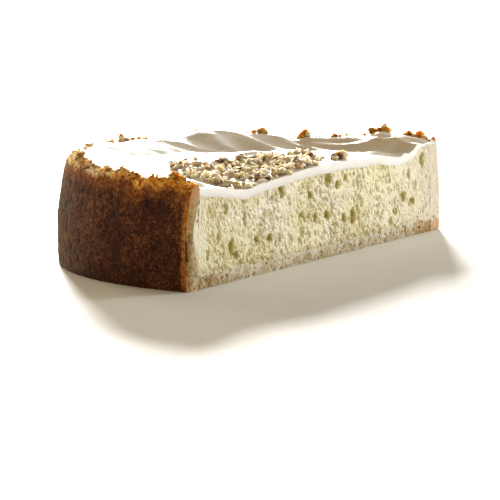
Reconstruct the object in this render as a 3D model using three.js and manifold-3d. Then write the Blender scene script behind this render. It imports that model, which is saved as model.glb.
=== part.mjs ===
// Half of a round baked cheesecake: crumb crust, cheese filling and sour-cream topping with chopped nuts.
// Millimetres, +Z up. The cut face looks to -Y, the round side to +Y, and the base lies on z = 0.
// Each layer is shaped on the whole round cake, around its middle, and is then cut as a knife cuts it.

import * as THREE from 'three';
import { mergeVertices } from 'three/addons/utils/BufferGeometryUtils.js';
import Module from 'manifold-3d';

const wasm = await Module();
wasm.setup();

const { degToRad, radToDeg, smoothstep, lerp } = THREE.MathUtils;

// The whole cake
const panRadius = 127;
const cutOffset = 5.6;
const layerGap = 0.3;
const knifeSize = 3 * panRadius;
const layerColumns = 108;
const rimColumns = 192;

// The crust
const wallThickness = 8;
const farWallExtra = 3;
const baseThickness = 5.2;
const baseCorner = 4;
const leanStart = 22;
const leanTop = 48;
const leanInward = 3.7;
const cornerHeight = 44.2;
const rimSwell = 4;
const rimJagged = { least: -1.2, most: 0.9 };
const crestWidth = { least: 3, most: 4.5 };
const crestEdge = { least: 0.8, most: 1.7 };
const crumbDent = 0.7;
const footEdge = 0.6;
const footHeight = 1.2;
const wallRows = [0.14, 0.27, 0.4, 0.53, 0.66, 0.79, 0.91];
const baseRings = [85, 105];

// The topping
const creamLevel = 41.4;
const creamThickness = 4;
const creamEdgeShare = 0.25;
const creamClimbWidth = 26;
const creamBelowRim = 1;
const swirlHeight = 0.6;
const creamRings = [108, 97, 86, 74, 61, 47, 32, 16];

// Lumps and dips of the rim: angle in degrees from the far corner, rise and half width
const rimLumps = [
  { at: 11, rise: 1.6, spread: 2.5 },
  { at: 16, rise: 2.6, spread: 2 },
  { at: 28, rise: -0.8, spread: 4 },
  { at: 37, rise: -2, spread: 2 },
  { at: 50, rise: 1.2, spread: 4 },
  { at: 60, rise: 3.2, spread: 5 },
  { at: 100, rise: 1.4, spread: 4 },
  { at: 134, rise: 1.6, spread: 3 },
  { at: 150, rise: 1, spread: 5 },
  { at: 165, rise: -2.2, spread: 2.5 },
  { at: 170.5, rise: -1.4, spread: 0.9 },
  { at: 174, rise: 2.4, spread: 1.6 },
];

// Large crumbs that stand on the rim: angle in degrees and half size
const rimCrumbs = [
  { at: 6.5, size: 2.4 },
  { at: 9, size: 1.8 },
  { at: 15, size: 3.2 },
  { at: 18, size: 2.2 },
  { at: 27, size: 1.7 },
  { at: 34, size: 2.6 },
  { at: 45, size: 2.6 },
  { at: 86, size: 2.4 },
  { at: 132, size: 2.4 },
  { at: 135, size: 3 },
  { at: 152, size: 2.6 },
  { at: 156, size: 2.3 },
  { at: 168.5, size: 2 },
  { at: 173.5, size: 2.8 },
];

// Swells and hollows of the cream: middle (y from the cut), rise, and half widths
const creamSwells = [
  { x: 8, y: 10, rise: 1.7, width: 36, depth: 50 },
  { x: -72, y: 4, rise: -2.6, width: 22, depth: 26 },
  { x: 84, y: 0, rise: -1.2, width: 12, depth: 40 },
  { x: 104, y: 0, rise: 1.8, width: 4.5, depth: 14 },
  { x: -40, y: 78, rise: 1.2, width: 30, depth: 10 },
];

// Patches that the chopped nuts cover: middle (y from the cut) and radius
const nutPatches = [
  { x: -8, y: 6, radius: 60 },
  { x: -66, y: 26, radius: 17 },
  { x: -70, y: 2, radius: 10 },
];
const nutCount = 130;
const nutSize = { least: 4, most: 7 };
const nutFlatness = { least: 0.55, most: 0.8 };
const nutLift = { least: 0.3, most: 1.7 };
const heapReach = { left: -84, right: 54, back: 66 };
const bareEnd = { x: 34, y: 12 };

// The largest holes of the cut face: x, height above the base, and half sizes
const largeHoles = [
  { x: -110.5, z: 14, width: 1.8, height: 2.6 },
  { x: -101, z: 20.3, width: 1.4, height: 2.2 },
  { x: -94, z: 31.5, width: 1.5, height: 2 },
  { x: -89.6, z: 15.4, width: 2.6, height: 3.8 },
  { x: -84.8, z: 10.8, width: 3, height: 2.2 },
  { x: -77.8, z: 26.3, width: 1.6, height: 2.8 },
  { x: -66, z: 15.5, width: 2.4, height: 3 },
  { x: -55, z: 15, width: 2.6, height: 1.8 },
  { x: -43.8, z: 33.6, width: 2.6, height: 3 },
  { x: 2.9, z: 34.6, width: 2, height: 2.8 },
  { x: 10.8, z: 32.6, width: 1.8, height: 2.2 },
  { x: 20, z: 35.4, width: 2, height: 2 },
  { x: 79, z: 12.4, width: 2.8, height: 2 },
  { x: 89, z: 21.5, width: 2, height: 2.6 },
  { x: 94.8, z: 16, width: 2.2, height: 3 },
  { x: 95.5, z: 28.7, width: 1.8, height: 3 },
  { x: 105.8, z: 36.6, width: 2, height: 3.2 },
];
const smallHoleCount = 54;
const smallHoleSize = { least: 0.9, most: 1.9 };

const bell = (distance, spread) => Math.exp(-0.5 * (distance / spread) ** 2);
const pick = (range, random) => lerp(range.least, range.most, random());

const roundForm = new THREE.IcosahedronGeometry(1, 0);
const choppedForm = new THREE.BoxGeometry(1.7, 1.5, 1.6);

// Repeatable random numbers from 0 to 1
function seededRandom(seed) {
  let state = seed;
  return () => {
    state = (1664525 * state + 1013904223) % 4294967296;
    return state / 4294967296;
  };
}

// Height of the rim at an angle from the far corner, in degrees
function rimHeight(angle) {
  let height = cornerHeight + rimSwell * Math.abs(Math.sin(degToRad(angle))) ** 0.4;
  for (const lump of rimLumps) height += lump.rise * bell(angle - lump.at, lump.spread);
  return height;
}

// The pan's wall stands upright and leans inward near its top
function outerRadius(height) {
  return panRadius - (leanInward * Math.max(0, height - leanStart)) / (leanTop - leanStart);
}

// The crust is thicker near the far corner
function innerRadius(angle, height) {
  const far = smoothstep(Math.cos(degToRad(angle)), 0.9, 1);
  return outerRadius(height) - wallThickness - farWallExtra * far;
}

// Outer edge of the filling's top and of the cream, where the wall stands furthest in
function layerEdge(angle) {
  return innerRadius(angle, rimHeight(angle)) - layerGap;
}

// Top of the base crust, which is thicker towards both ends of the cut
function baseTop(x) {
  return baseThickness + 1.8 * smoothstep(x, 70, 105) + 0.8 * smoothstep(-x, 85, 112);
}

function creamTop(x, y) {
  const radius = Math.hypot(x, y);
  const angle = radToDeg(Math.atan2(y, x));
  let level = creamLevel;
  for (const swell of creamSwells) {
    level += swell.rise * bell(x - swell.x, swell.width) * bell(y - cutOffset - swell.y, swell.depth);
  }
  level += swirlHeight * Math.sin(degToRad(2 * angle) + radius / 7) * smoothstep(radius, 30, 70);
  const edge = layerEdge(angle);
  const climb = smoothstep(radius, edge - creamClimbWidth, edge);
  return lerp(level, rimHeight(angle) - creamBelowRim, climb);
}

// The cream thins out towards the rim, over a wider band at the far end
function creamBottom(x, y) {
  const thinStart = 103 - (11 * x) / panRadius;
  const thinning = smoothstep(Math.hypot(x, y), thinStart, thinStart + 12);
  return creamTop(x, y) - creamThickness * lerp(1, creamEdgeShare, thinning);
}

// A closed solid from a THREE geometry, with shared vertices and no empty triangles
function solidOf(geometry) {
  geometry.deleteAttribute('normal');
  geometry.deleteAttribute('uv');
  const merged = mergeVertices(geometry, 1e-4);
  const corners = merged.index.array;
  const kept = [];
  for (let i = 0; i < corners.length; i += 3) {
    const [a, b, c] = corners.slice(i, i + 3);
    if (a !== b && b !== c && c !== a) kept.push(a, b, c);
  }
  return new wasm.Manifold(new wasm.Mesh({
    numProp: 3,
    vertProperties: new Float32Array(merged.attributes.position.array),
    triVerts: new Uint32Array(kept),
  }));
}

// Columns run together towards the axis, so that the triangles there stay as large as outside
function columnsInOne(radius) {
  if (radius < 20) return 12;
  if (radius < 40) return 6;
  return radius < 80 ? 3 : 1;
}

// A solid of revolution whose outline changes with the angle.
// An outline is a list of [radius, height] from the axis below, out and up, to the axis above.
// Facing faces of two layers split their quads along the same diagonal, so that they never cross.
function turned(columns, outline) {
  const outlines = Array.from({ length: columns }, (_, column) => outline((360 * column) / columns));
  const positions = [];
  const rows = outlines[0].length;
  for (let column = 0; column < columns; column += 1) {
    for (let row = 0; row < rows; row += 1) {
      const joinedColumns = columnsInOne(outlines[column][row][0]);
      const used = (Math.round(column / joinedColumns) * joinedColumns) % columns;
      const turn = (2 * Math.PI * used) / columns;
      const [radius, height] = outlines[used][row];
      positions.push(radius * Math.cos(turn), radius * Math.sin(turn), height);
    }
  }
  const triangles = [];
  for (let column = 0; column < columns; column += 1) {
    const here = column * rows;
    const next = ((column + 1) % columns) * rows;
    for (let row = 0; row < rows - 1; row += 1) {
      const [a, b, c, d] = [here + row, next + row, next + row + 1, here + row + 1];
      const inward = outlines[column][row + 1][0] < outlines[column][row][0];
      triangles.push(...(inward ? [a, b, d, b, c, d] : [a, b, c, a, c, d]));
    }
  }
  const geometry = new THREE.BufferGeometry();
  geometry.setAttribute('position', new THREE.Float32BufferAttribute(positions, 3));
  geometry.setIndex(triangles);
  return solidOf(geometry);
}

// An uneven lump of a plain form: round for a crumb or a hole, boxy for a chopped piece
function lump(random, form, halfSizes, place, turnIt) {
  const geometry = form.clone();
  geometry.deleteAttribute('normal');
  geometry.deleteAttribute('uv');
  const merged = mergeVertices(geometry, 1e-4);
  const points = merged.attributes.position;
  const corner = new THREE.Vector3();
  for (let i = 0; i < points.count; i += 1) {
    corner.fromBufferAttribute(points, i).multiplyScalar(lerp(0.78, 1.15, random()));
    points.setXYZ(i, corner.x, corner.y, corner.z);
  }
  merged.scale(...halfSizes);
  if (turnIt) {
    merged.rotateX(lerp(-0.5, 0.5, random()));
    merged.rotateY(lerp(-0.5, 0.5, random()));
    merged.rotateZ(2 * Math.PI * random());
  }
  merged.translate(...place);
  return solidOf(merged);
}

// The solid without the half that was cut away
function cutByKnife(solid) {
  const knife = new THREE.BoxGeometry(knifeSize, knifeSize, knifeSize);
  knife.translate(0, cutOffset - knifeSize / 2, 0);
  return solid.subtract(solidOf(knife));
}

function joined(solid, pieces) {
  return pieces.reduce((whole, piece) => whole.add(piece), solid);
}

// The named mesh of a solid, without any scrap that the cuts left loose
function meshOf(name, solid, color, roughness) {
  const [largest] = solid.decompose().sort((a, b) => b.volume() - a.volume());
  const { vertProperties, triVerts } = largest.getMesh();
  const geometry = new THREE.BufferGeometry();
  geometry.setAttribute('position', new THREE.BufferAttribute(new Float32Array(vertProperties), 3));
  geometry.setIndex(new THREE.BufferAttribute(new Uint32Array(triVerts), 1));
  geometry.computeVertexNormals();
  const mesh = new THREE.Mesh(geometry, new THREE.MeshStandardMaterial({ color, roughness, metalness: 0 }));
  mesh.name = name;
  return mesh;
}

// Crumbs pressed into the rim: the large ones where they stand, then small ones all along it
function makeRimCrumbs() {
  const random = seededRandom(11);
  const crumbs = [...rimCrumbs];
  for (let angle = 3; angle < 176; angle += 7.5) {
    crumbs.push({ at: angle + 4 * random(), size: lerp(1.5, 2.2, random()) });
  }
  return crumbs.map(({ at, size }) => {
    const height = rimHeight(at) + lerp(-0.3, 0.2, random()) * size;
    const radius = outerRadius(height) - lerp(1.6, 4.8, random());
    const place = [radius * Math.cos(degToRad(at)), radius * Math.sin(degToRad(at)), height];
    return lump(random, roundForm, [size, 0.85 * size, 0.8 * size], place, true);
  });
}

function makeCrust() {
  const random = seededRandom(5);
  const block = turned(rimColumns, (angle) => {
    const rim = rimHeight(angle) + pick(rimJagged, random);
    const wall = wallRows.map((share) => {
      const height = share * rim;
      return [outerRadius(height) - crumbDent * (1 + share) * random(), height];
    });
    return [
      [0, 0],
      [panRadius - footEdge, 0],
      [panRadius, footHeight],
      ...wall,
      [outerRadius(rim) - pick(crestEdge, random), rim - pick(crestEdge, random)],
      [outerRadius(rim) - pick(crestWidth, random), rim],
      [innerRadius(angle, rim), rim - creamBelowRim],
      [0, creamLevel],
    ];
  });
  const top = 2 * leanTop;
  const hollow = turned(layerColumns, (angle) => {
    const x = Math.cos(degToRad(angle));
    const wall = innerRadius(angle, 0);
    return [
      [0, baseTop(0)],
      ...baseRings.map((radius) => [radius, baseTop(radius * x)]),
      [wall - baseCorner, baseTop(wall * x)],
      [wall, baseTop(wall * x) + baseCorner],
      [wall, leanStart],
      [innerRadius(angle, top), top],
      [0, top],
    ];
  });
  const crust = joined(block, makeRimCrumbs()).subtract(hollow);
  return meshOf('crumb_crust', cutByKnife(crust), 0x7a5232, 0.9);
}

// Holes in the cut face: the large ones where they are, then small ones all over it
function makeHoles() {
  const random = seededRandom(23);
  const holes = [...largeHoles];
  while (holes.length < largeHoles.length + smallHoleCount) {
    const width = pick(smallHoleSize, random);
    const x = lerp(-113, 108, random());
    const z = lerp(9, creamBottom(x, cutOffset) - 2.6, random());
    const clear = holes.every((hole) => Math.hypot(hole.x - x, hole.z - z) > hole.width + width + 1.2);
    if (clear) holes.push({ x, z, width, height: width * lerp(0.9, 1.5, random()) });
  }
  return holes.map(({ x, z, width, height }) => {
    const depth = 0.9 * width;
    return lump(random, roundForm, [width, depth, height], [x, cutOffset - 0.2 * depth, z], false);
  });
}

function makeFilling() {
  const body = turned(layerColumns, (angle) => {
    const x = Math.cos(degToRad(angle));
    const y = Math.sin(degToRad(angle));
    const wall = innerRadius(angle, 0) - layerGap;
    const bottom = (radius) => baseTop(radius * x) + layerGap;
    const top = (radius) => creamBottom(radius * x, radius * y) - layerGap;
    const edge = layerEdge(angle);
    return [
      [0, bottom(0)],
      ...baseRings.map((radius) => [radius, bottom(radius)]),
      [wall - baseCorner, bottom(wall)],
      [wall, bottom(wall) + baseCorner],
      [wall, leanStart],
      [edge, top(edge)],
      ...creamRings.map((radius) => [radius, top(radius)]),
      [0, top(0)],
    ];
  });
  const filling = makeHoles().reduce((solid, hole) => solid.subtract(hole), cutByKnife(body));
  return meshOf('cheese_filling', filling, 0xe6dcb4, 0.6);
}

// Chopped nuts, the largest first, sunk a little into the cream
function makeNuts() {
  const random = seededRandom(37);
  const places = [];
  for (let tries = 0; places.length < nutCount && tries < 20000; tries += 1) {
    const x = lerp(heapReach.left, heapReach.right, random());
    const y = heapReach.back * random();
    const size = lerp(nutSize.most, nutSize.least, places.length / nutCount) / 2;
    const covered = nutPatches.some((patch) => Math.hypot(x - patch.x, y - patch.y) < patch.radius);
    const bare = x > bareEnd.x && y < bareEnd.y;
    const clear = places.every((nut) => Math.hypot(nut.x - x, nut.y - y) > 0.8 * (nut.size + size));
    if (covered && clear && !bare) places.push({ x, y, size });
  }
  return places.map(({ x, y, size }) => {
    const ground = creamTop(x, y + cutOffset);
    const place = [x, y + cutOffset, ground + pick(nutLift, random)];
    const halfSizes = [size, lerp(0.65, 0.9, random()) * size, pick(nutFlatness, random) * size];
    return lump(random, choppedForm, halfSizes, place, true);
  });
}

function makeTopping() {
  const sheet = turned(layerColumns, (angle) => {
    const x = Math.cos(degToRad(angle));
    const y = Math.sin(degToRad(angle));
    const bottom = (radius) => creamBottom(radius * x, radius * y);
    const top = (radius) => creamTop(radius * x, radius * y);
    const edge = layerEdge(angle);
    return [
      [0, bottom(0)],
      ...creamRings.toReversed().map((radius) => [radius, bottom(radius)]),
      [edge, bottom(edge)],
      [edge, top(edge)],
      ...creamRings.map((radius) => [radius, top(radius)]),
      [0, top(0)],
    ];
  });
  return meshOf('sour_cream_topping', cutByKnife(joined(sheet, makeNuts())), 0xf6f3ec, 0.45);
}

const cake = new THREE.Group();
cake.position.y = -(panRadius + cutOffset) / 2;
cake.add(makeCrust(), makeFilling(), makeTopping());

export default cake;
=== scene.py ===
"""Half of a round baked cheesecake: crumb crust, porous filling, sour cream and chopped nuts."""

import itertools
import math

import bmesh
import bpy
import numpy as np
from bpy.props import FloatProperty, FloatVectorProperty, IntProperty, PointerProperty
from mathutils import Matrix, Vector


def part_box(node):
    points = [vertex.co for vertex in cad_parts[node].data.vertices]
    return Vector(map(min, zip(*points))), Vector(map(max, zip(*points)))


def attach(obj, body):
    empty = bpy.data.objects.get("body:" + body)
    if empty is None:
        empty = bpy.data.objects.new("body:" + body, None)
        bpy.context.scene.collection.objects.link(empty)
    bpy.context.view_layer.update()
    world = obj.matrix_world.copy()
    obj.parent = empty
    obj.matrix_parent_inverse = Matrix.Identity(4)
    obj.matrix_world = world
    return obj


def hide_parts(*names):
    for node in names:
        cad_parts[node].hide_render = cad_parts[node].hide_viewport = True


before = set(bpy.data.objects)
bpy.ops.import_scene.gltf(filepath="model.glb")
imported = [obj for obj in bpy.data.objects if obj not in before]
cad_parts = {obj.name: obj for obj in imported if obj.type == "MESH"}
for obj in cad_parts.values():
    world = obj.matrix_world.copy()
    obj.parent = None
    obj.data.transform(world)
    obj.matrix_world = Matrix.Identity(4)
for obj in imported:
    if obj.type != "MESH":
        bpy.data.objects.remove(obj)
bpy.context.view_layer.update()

bl_info = {
    "name": "Baked Cheesecake Half",
    "version": (1, 0, 0),
    "blender": (4, 5, 0),
    "location": "View3D > Sidebar > Cheesecake",
    "description": "Makes the crust, filling, cream, nuts and stage of half a baked cheesecake",
    "category": "Object",
}

# All shapes are worked out in millimetres around the middle of the whole round cake
MM = 0.001
CRUST_LOW, CRUST_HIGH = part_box("crumb_crust")
HALF_CUT = (CRUST_HIGH.x - CRUST_LOW.x) / 2 / MM
DEPTH = (CRUST_HIGH.y - CRUST_LOW.y) / MM
PAN_RADIUS = (HALF_CUT**2 / DEPTH + DEPTH) / 2
CUT_OFFSET = (HALF_CUT**2 / DEPTH - DEPTH) / 2
MIDDLE_Y = CRUST_LOW.y / MM - CUT_OFFSET

# The crust's wall and base
WALL_THICKNESS = 8.0
FAR_WALL_EXTRA = 3.0
NEAR_WALL_THINNING = 4.2
THIN_HEIGHT = 25.0
BASE_THICKNESS = 5.2
LEAN_START = 22.0
LEAN_TOP = 48.0
LEAN_INWARD = 3.7
CORNER_HEIGHT = 44.2
RIM_SWELL = 4.0
FOOT_HEIGHT = 1.2
FOOT_INSET = 0.6
CREST_ROUNDING = 0.8
BASE_INTO_WALL = 0.4

# How far base and filling stand in front of the cut's plane, and how far behind it is still cut face
BASE_PROUD = 0.03
FILLING_PROUD = 0.04
CUT_RELIEF = 1.3

# Crumbs that the knife left on the cut
CUT_CRUMBS_ON_BASE = 620
CUT_CRUMBS_ON_WALL = 40

# How far the filling reaches into the crust and the cream
FILLING_OVERLAP = 0.3

# The topping
CREAM_LEVEL = 41.4
CREAM_THICKNESS = 4.0
CREAM_EDGE_SHARE = 0.25
CREAM_CLIMB_WIDTH = 26.0
CREAM_BELOW_RIM = 1.0
SWIRL_HEIGHT = 0.6
CREAM_INTO_CRUST = 1.2

# Lumps and dips of the rim: angle in degrees from the far corner, rise and half width
RIM_LUMPS = (
    (11, 1.6, 2.5),
    (16, 2.6, 2),
    (28, -0.8, 4),
    (37, -2, 2),
    (50, 1.2, 4),
    (60, 3.2, 5),
    (100, 1.4, 4),
    (134, 1.6, 3),
    (150, -0.6, 5),
    (164.2, -1.8, 2),
    (166.8, 1.2, 0.9),
    (169, -1.2, 0.8),
    (171.3, 0.4, 1.2),
    (176.8, -2.4, 1.6),
)

# Large crumbs that stand on the rim: angle in degrees and half size
RIM_CRUMBS = (
    (6.5, 2.4),
    (9, 1.8),
    (15, 3.2),
    (18, 2.2),
    (27, 1.7),
    (34, 2.6),
    (45, 2.6),
    (79, 1.6),
    (86, 2.4),
    (91, 1.8),
    (132, 1.7),
    (135, 2),
    (152, 1.7),
    (156, 1.5),
    (166.8, 1.3),
    (171.3, 1.5),
)

# Single nuts on the rim: angle in degrees and half size
RIM_NUTS = (
    (24, 1.6),
    (46, 1.5),
    (78, 1.5),
    (83, 1.8),
    (91, 1.3),
    (102, 1.4),
    (107, 1.9),
    (128, 1.6),
    (141, 1.4),
)

# Single nuts on the cream: x, y from the cut and half size
LONE_NUTS = (
    (25, 6.2, 4.8),
    (20.5, 6, 3.2),
    (28.5, 5, 2.6),
    (14.5, 15, 2.5),
    (19.5, 27, 2.4),
    (-1.5, 12, 1.9),
    (-50, 3, 2),
    (-70, 4, 2.8),
    (-65, 18, 2),
    (-84, 4, 1.7),
    (46, 5, 0.8),
    (55, 4, 0.6),
    (50, 14, 0.7),
    (-97, 30, 0.7),
    (-30, 84, 0.8),
)

# A scorched spot on the wall: angle in degrees and height
SCORCH_ANGLE = 171.0
SCORCH_HEIGHT = 38.0

# Swells and hollows of the cream: x, y from the cut, rise, half width and half depth
CREAM_SWELLS = (
    (8, 10, 1.7, 36, 50),
    (-72, 4, -2.6, 22, 26),
    (84, 0, -1.2, 12, 40),
    (104, 0, 1.8, 4.5, 14),
    (-40, 78, 1.2, 30, 10),
)

# Spurs of cream on the far slope: angle, its change per mm outward, half width in degrees and rise
CREAM_SPURS = (
    (50, 0.5, 2.6, 2.6),
    (61, 0.2, 1.8, 1.8),
    (72, 0.3, 2.2, 1.4),
    (36, 0.6, 1.6, 1.2),
    (10, -0.3, 2, 1.8),
    (86, 0, 14, 2.6),
)

# Outline of the chopped nuts on the cream: x, y from the cut
NUT_OUTLINE = (
    (-80, 4),
    (-74, 13),
    (-68, 23),
    (-73, 34),
    (-56, 45),
    (-42, 58),
    (-32, 54),
    (-34, 47),
    (-24, 44),
    (-6, 42),
    (5, 38),
    (12, 31),
    (22, 24),
    (25, 17),
    (18, 12),
    (6, 9),
    (-6, 5),
    (-14, 1),
    (-24, 0),
    (-70, 0),
)

# The largest holes of the cut face: x, height above the base, and half sizes
LARGE_HOLES = (
    (-110.5, 14, 1.8, 2.6),
    (-101, 20.3, 1.4, 2.2),
    (-94, 31.5, 1.5, 2),
    (-89.6, 15.4, 2.6, 3.8),
    (-84.8, 10.8, 3, 2.2),
    (-77.8, 26.3, 1.6, 2.8),
    (-66, 15.5, 2.4, 3),
    (-55, 15, 2.6, 1.8),
    (-43.8, 34.4, 2.9, 3.2),
    (-24.6, 22.1, 2.2, 1.6),
    (-15.7, 29.8, 2.4, 2),
    (-10.7, 19.8, 2.4, 2.4),
    (1, 19.6, 3.2, 2.4),
    (2.5, 35.6, 2.8, 2.8),
    (11.8, 32.4, 2.4, 2.2),
    (20.1, 35.4, 2.2, 1.8),
    (19.1, 16.8, 2, 2.4),
    (27.6, 16.9, 2.6, 4.4),
    (69.6, 9.8, 2.8, 2),
    (75, 14, 3, 2),
    (84, 20.5, 3, 2.6),
    (93.5, 17, 3.6, 2.2),
    (97, 24.5, 2.4, 3.4),
    (90, 31, 2.2, 2.6),
    (105.8, 36.6, 3.2, 3.6),
)

# Edges between faces at more than this angle are sharp, in degrees
SHARP_ANGLE = 60.0

# Points of the grids that no setting gives
CAP_STEPS = 8
BASE_COLUMNS = 460
BASE_ROWS = 12
BASE_STEPS_BACK = 8
FILLING_STEPS_BACK = 16
CREAM_FRONT_ROWS = 8
CREAM_UNDER_STEP = 8

# Rounds in which the cream's outline settles, and tries at a place for one nut
REACH_STEPS = 4
MOST_TRIES = 10000

# Colours of the finishes, each with its place on a ramp
BROWN_CRUMB = ((0.05, "#1a0b05"), (0.3, "#3d1c0c"), (0.5, "#532a12"), (0.75, "#84532c"))
RUSSET_CRUMB = ((0.25, "#5c2a0e"), (0.5, "#914c1c"), (0.75, "#bd7730"))
# Golden toast of the rim, its palest stops a painted glow of the backlit crest.
GOLDEN_AND_GLOW_CRUMB = ((0.15, "#7d4316"), (0.32, "#cf9048"), (0.5, "#f0c982"), (0.75, "#fdf3d6"))
# Orange of toasted crumbs, made bright as a painted glow of crumbs lit from behind.
ORANGE_AND_GLOW_CRUMB = ((0.15, "#7c3606"), (0.45, "#ee9628"), (0.75, "#ffd070"))
TAN_CRUMB = ((0.0, "#8f7345"), (0.4, "#ae945c"), (1.0, "#cdb480"))
PALE_CRUMB = ((0.0, "#d3c9ae"), (0.4, "#ddd5c1"), (1.0, "#e9e2d4"))
CUSTARD = ((0.3, "#ebe2b4"), (0.5, "#f2eac8"), (0.7, "#f6f0dc"))
# Olive is painted shade inside the holes; the tan at the crust and the pale tint are the custard's own
# colour.
CUSTARD_TINTS = (("hollow_shade", "#b8ab50"), ("edge", "#cbbd8c"), ("pale", "#ddd3b8"))
CREAM_WHITE = ((0.3, "#f3efe8"), (0.7, "#faf8f6"))
NUT_MEAT = (
    (0.0, "#9a6a48"),
    (0.15, "#d6ac82"),
    (0.35, "#eed9b6"),
    (0.65, "#f5e9cf"),
    (0.88, "#ede6b6"),
    (1.0, "#cfc98a"),
)
NUT_SKIN = ((0.3, "#3a221c"), (0.55, "#5a3a2e"), (0.8, "#84604a"))
FLOOR_WHITE = ((0.0, "#eef1f5"), (1.0, "#f1f4f8"))

# The stage: metres and degrees, and the directions of the panels from the cake
FILM_WIDTH = 36
FLOOR_REACH = 30.0
LIGHT_DISTANCE = 2.2
SUN_ELEVATION = 11.5
SUN_BESIDE_VIEW = 5.0
SUN_SPREAD = 14.0
SIDE_PANEL_WAY = (0.78, -0.58, 0.24)
LEFT_PANEL_WAY = (0.45, 0.88, 0.16)

# Texture sizes in millimetres
GRAIN_SMALL = 1.3
GRAIN_LARGE = 3.6
LUMP_SIZE = 6.5
WAVE_SIZE = 13.0


def smoothstep(low, high, value):
    """Goes smoothly from 0 at low to 1 at high, either way round: thrice the square less twice the cube."""
    share = np.clip((value - low) / (high - low), 0, 1)
    return share * share * (3 - 2 * share)


def bell(distance, spread):
    """Bell curve: e to the minus half of the squared distance over the squared spread."""
    return np.exp(-0.5 * (distance / spread) ** 2)


def points_at(x, y, z):
    """Points from three coordinates, each an array or one number for all of the points."""
    return np.stack(np.broadcast_arrays(x, y, z), axis=-1)


def round_points(radius, turn, height):
    """Points at a radius and a turn, in radians, around the middle of the whole cake, and at a height."""
    return points_at(radius * np.cos(turn), radius * np.sin(turn), height)


def rim_height(angle):
    """Height of the rim: a corner height, a swell by the sine's power 0.4, and a bell for each lump."""
    height = CORNER_HEIGHT + RIM_SWELL * np.abs(np.sin(np.radians(angle))) ** 0.4
    for at, rise, spread in RIM_LUMPS:
        height = height + rise * bell(angle - at, spread)
    return height


def outer_radius(height):
    """The wall's outer radius: the pan's up to a height, then leaning inward in a straight line."""
    return PAN_RADIUS - LEAN_INWARD * np.maximum(0, height - LEAN_START) / (LEAN_TOP - LEAN_START)


def inner_radius(angle, height):
    """The outer radius less the wall's thickness, more at the far corner, less half way up the near one."""
    far = smoothstep(0.9, 1, np.cos(np.radians(angle)))
    thin = smoothstep(166, 176, angle) * bell(height - THIN_HEIGHT, 8)
    return outer_radius(height) - WALL_THICKNESS - FAR_WALL_EXTRA * far + NEAR_WALL_THINNING * thin


def layer_edge(angle):
    """Radius of the crust's inner side at the rim's height."""
    return inner_radius(angle, rim_height(angle))


def base_top(x):
    """Top of the base: a thickness with noise along it, and a smooth rise towards each end of the cut."""
    uneven = 1.5 * (soft_noise(points_at(x, 0, 0), 2.4, 157) - 0.5)
    return BASE_THICKNESS + uneven + 1.8 * smoothstep(70, 105, x) + 0.8 * smoothstep(85, 112, -x)


def cream_top(x, y):
    """Height of the cream: a level, a bell for each swell, a spiral wave, and a climb to the rim."""
    radius = np.hypot(x, y)
    angle = np.degrees(np.arctan2(y, x))
    level = np.full(np.shape(radius), CREAM_LEVEL)
    for at_x, at_y, rise, width, depth in CREAM_SWELLS:
        level = level + rise * bell(x - at_x, width) * bell(y - CUT_OFFSET - at_y, depth)
    wave = np.sin(np.radians(2 * angle) + radius / 7)
    level = level + SWIRL_HEIGHT * wave * smoothstep(30, 70, radius)
    edge = layer_edge(angle)
    climb = smoothstep(edge - CREAM_CLIMB_WIDTH, edge, radius)
    return level + (rim_height(angle) - CREAM_BELOW_RIM - level) * climb


def cream_cover(angle):
    """Share of the rim that the cream runs over: all of it round the back, and none in front."""
    return smoothstep(1.5, 5.5, angle) * (1 - smoothstep(108, 122, angle))


def cream_thickness(x, y):
    """Thickness of the cream: even, thinning to a share of it over 12 mm towards the rim."""
    start = 103 - 11 * x / PAN_RADIUS
    thinning = smoothstep(start, start + 12, np.hypot(x, y))
    return CREAM_THICKNESS * (1 + (CREAM_EDGE_SHARE - 1) * thinning)


def cell_random(cells, seed):
    """A random number from 0 to 1 for each whole-number cell, by mixing the bits of its coordinates."""
    x, y, z = (cells[..., axis].astype(np.int64) for axis in range(3))
    mixed = (x * 73856093) ^ (y * 19349663) ^ (z * 83492791) ^ (seed * 40503)
    mixed = (mixed ^ (mixed >> 13)) & 0xFFFFFFFF
    mixed = (mixed * 1274126177) & 0xFFFFFFFF
    mixed = ((mixed ^ (mixed >> 15)) * 668265263) & 0xFFFFFFFF
    return (mixed ^ (mixed >> 16)) / 0xFFFFFFFF


def soft_noise(points, size, seed):
    """Value noise from 0 to 1: the eight corners of each point's cell, blended smoothly."""
    scaled = points / size
    base = np.floor(scaled).astype(np.int64)
    part = scaled - base
    part = part * part * (3 - 2 * part)
    total = np.zeros(points.shape[:-1])
    for corner in itertools.product((0, 1), repeat=3):
        weight = np.prod(np.where(corner, part, 1 - part), axis=-1)
        total += weight * cell_random(base + np.array(corner), seed)
    return total


def grain_noise(points, size, seed):
    """Packed round grains from 0 to 1: one less the squared distance to the nearest grain's middle."""
    scaled = points / size
    base = np.floor(scaled).astype(np.int64)
    nearest = np.ones(points.shape[:-1])
    for step in itertools.product((-1, 0, 1), repeat=3):
        cell = base + np.array(step)
        middle = cell + np.stack([cell_random(cell, seed + axis) for axis in range(3)], axis=-1)
        nearest = np.minimum(nearest, ((scaled - middle) ** 2).sum(axis=-1))
    return 1 - nearest


def grid_quads(rows, columns, closed=False):
    """Quads of a grid of points numbered row by row, with its last row joined to its first if closed."""
    first = np.arange(rows if closed else rows - 1)[:, None] * columns + np.arange(columns - 1)
    above = (first + columns) % (rows * columns)
    return np.stack([first, first + 1, above + 1, above], axis=-1).reshape(-1, 4)


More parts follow.
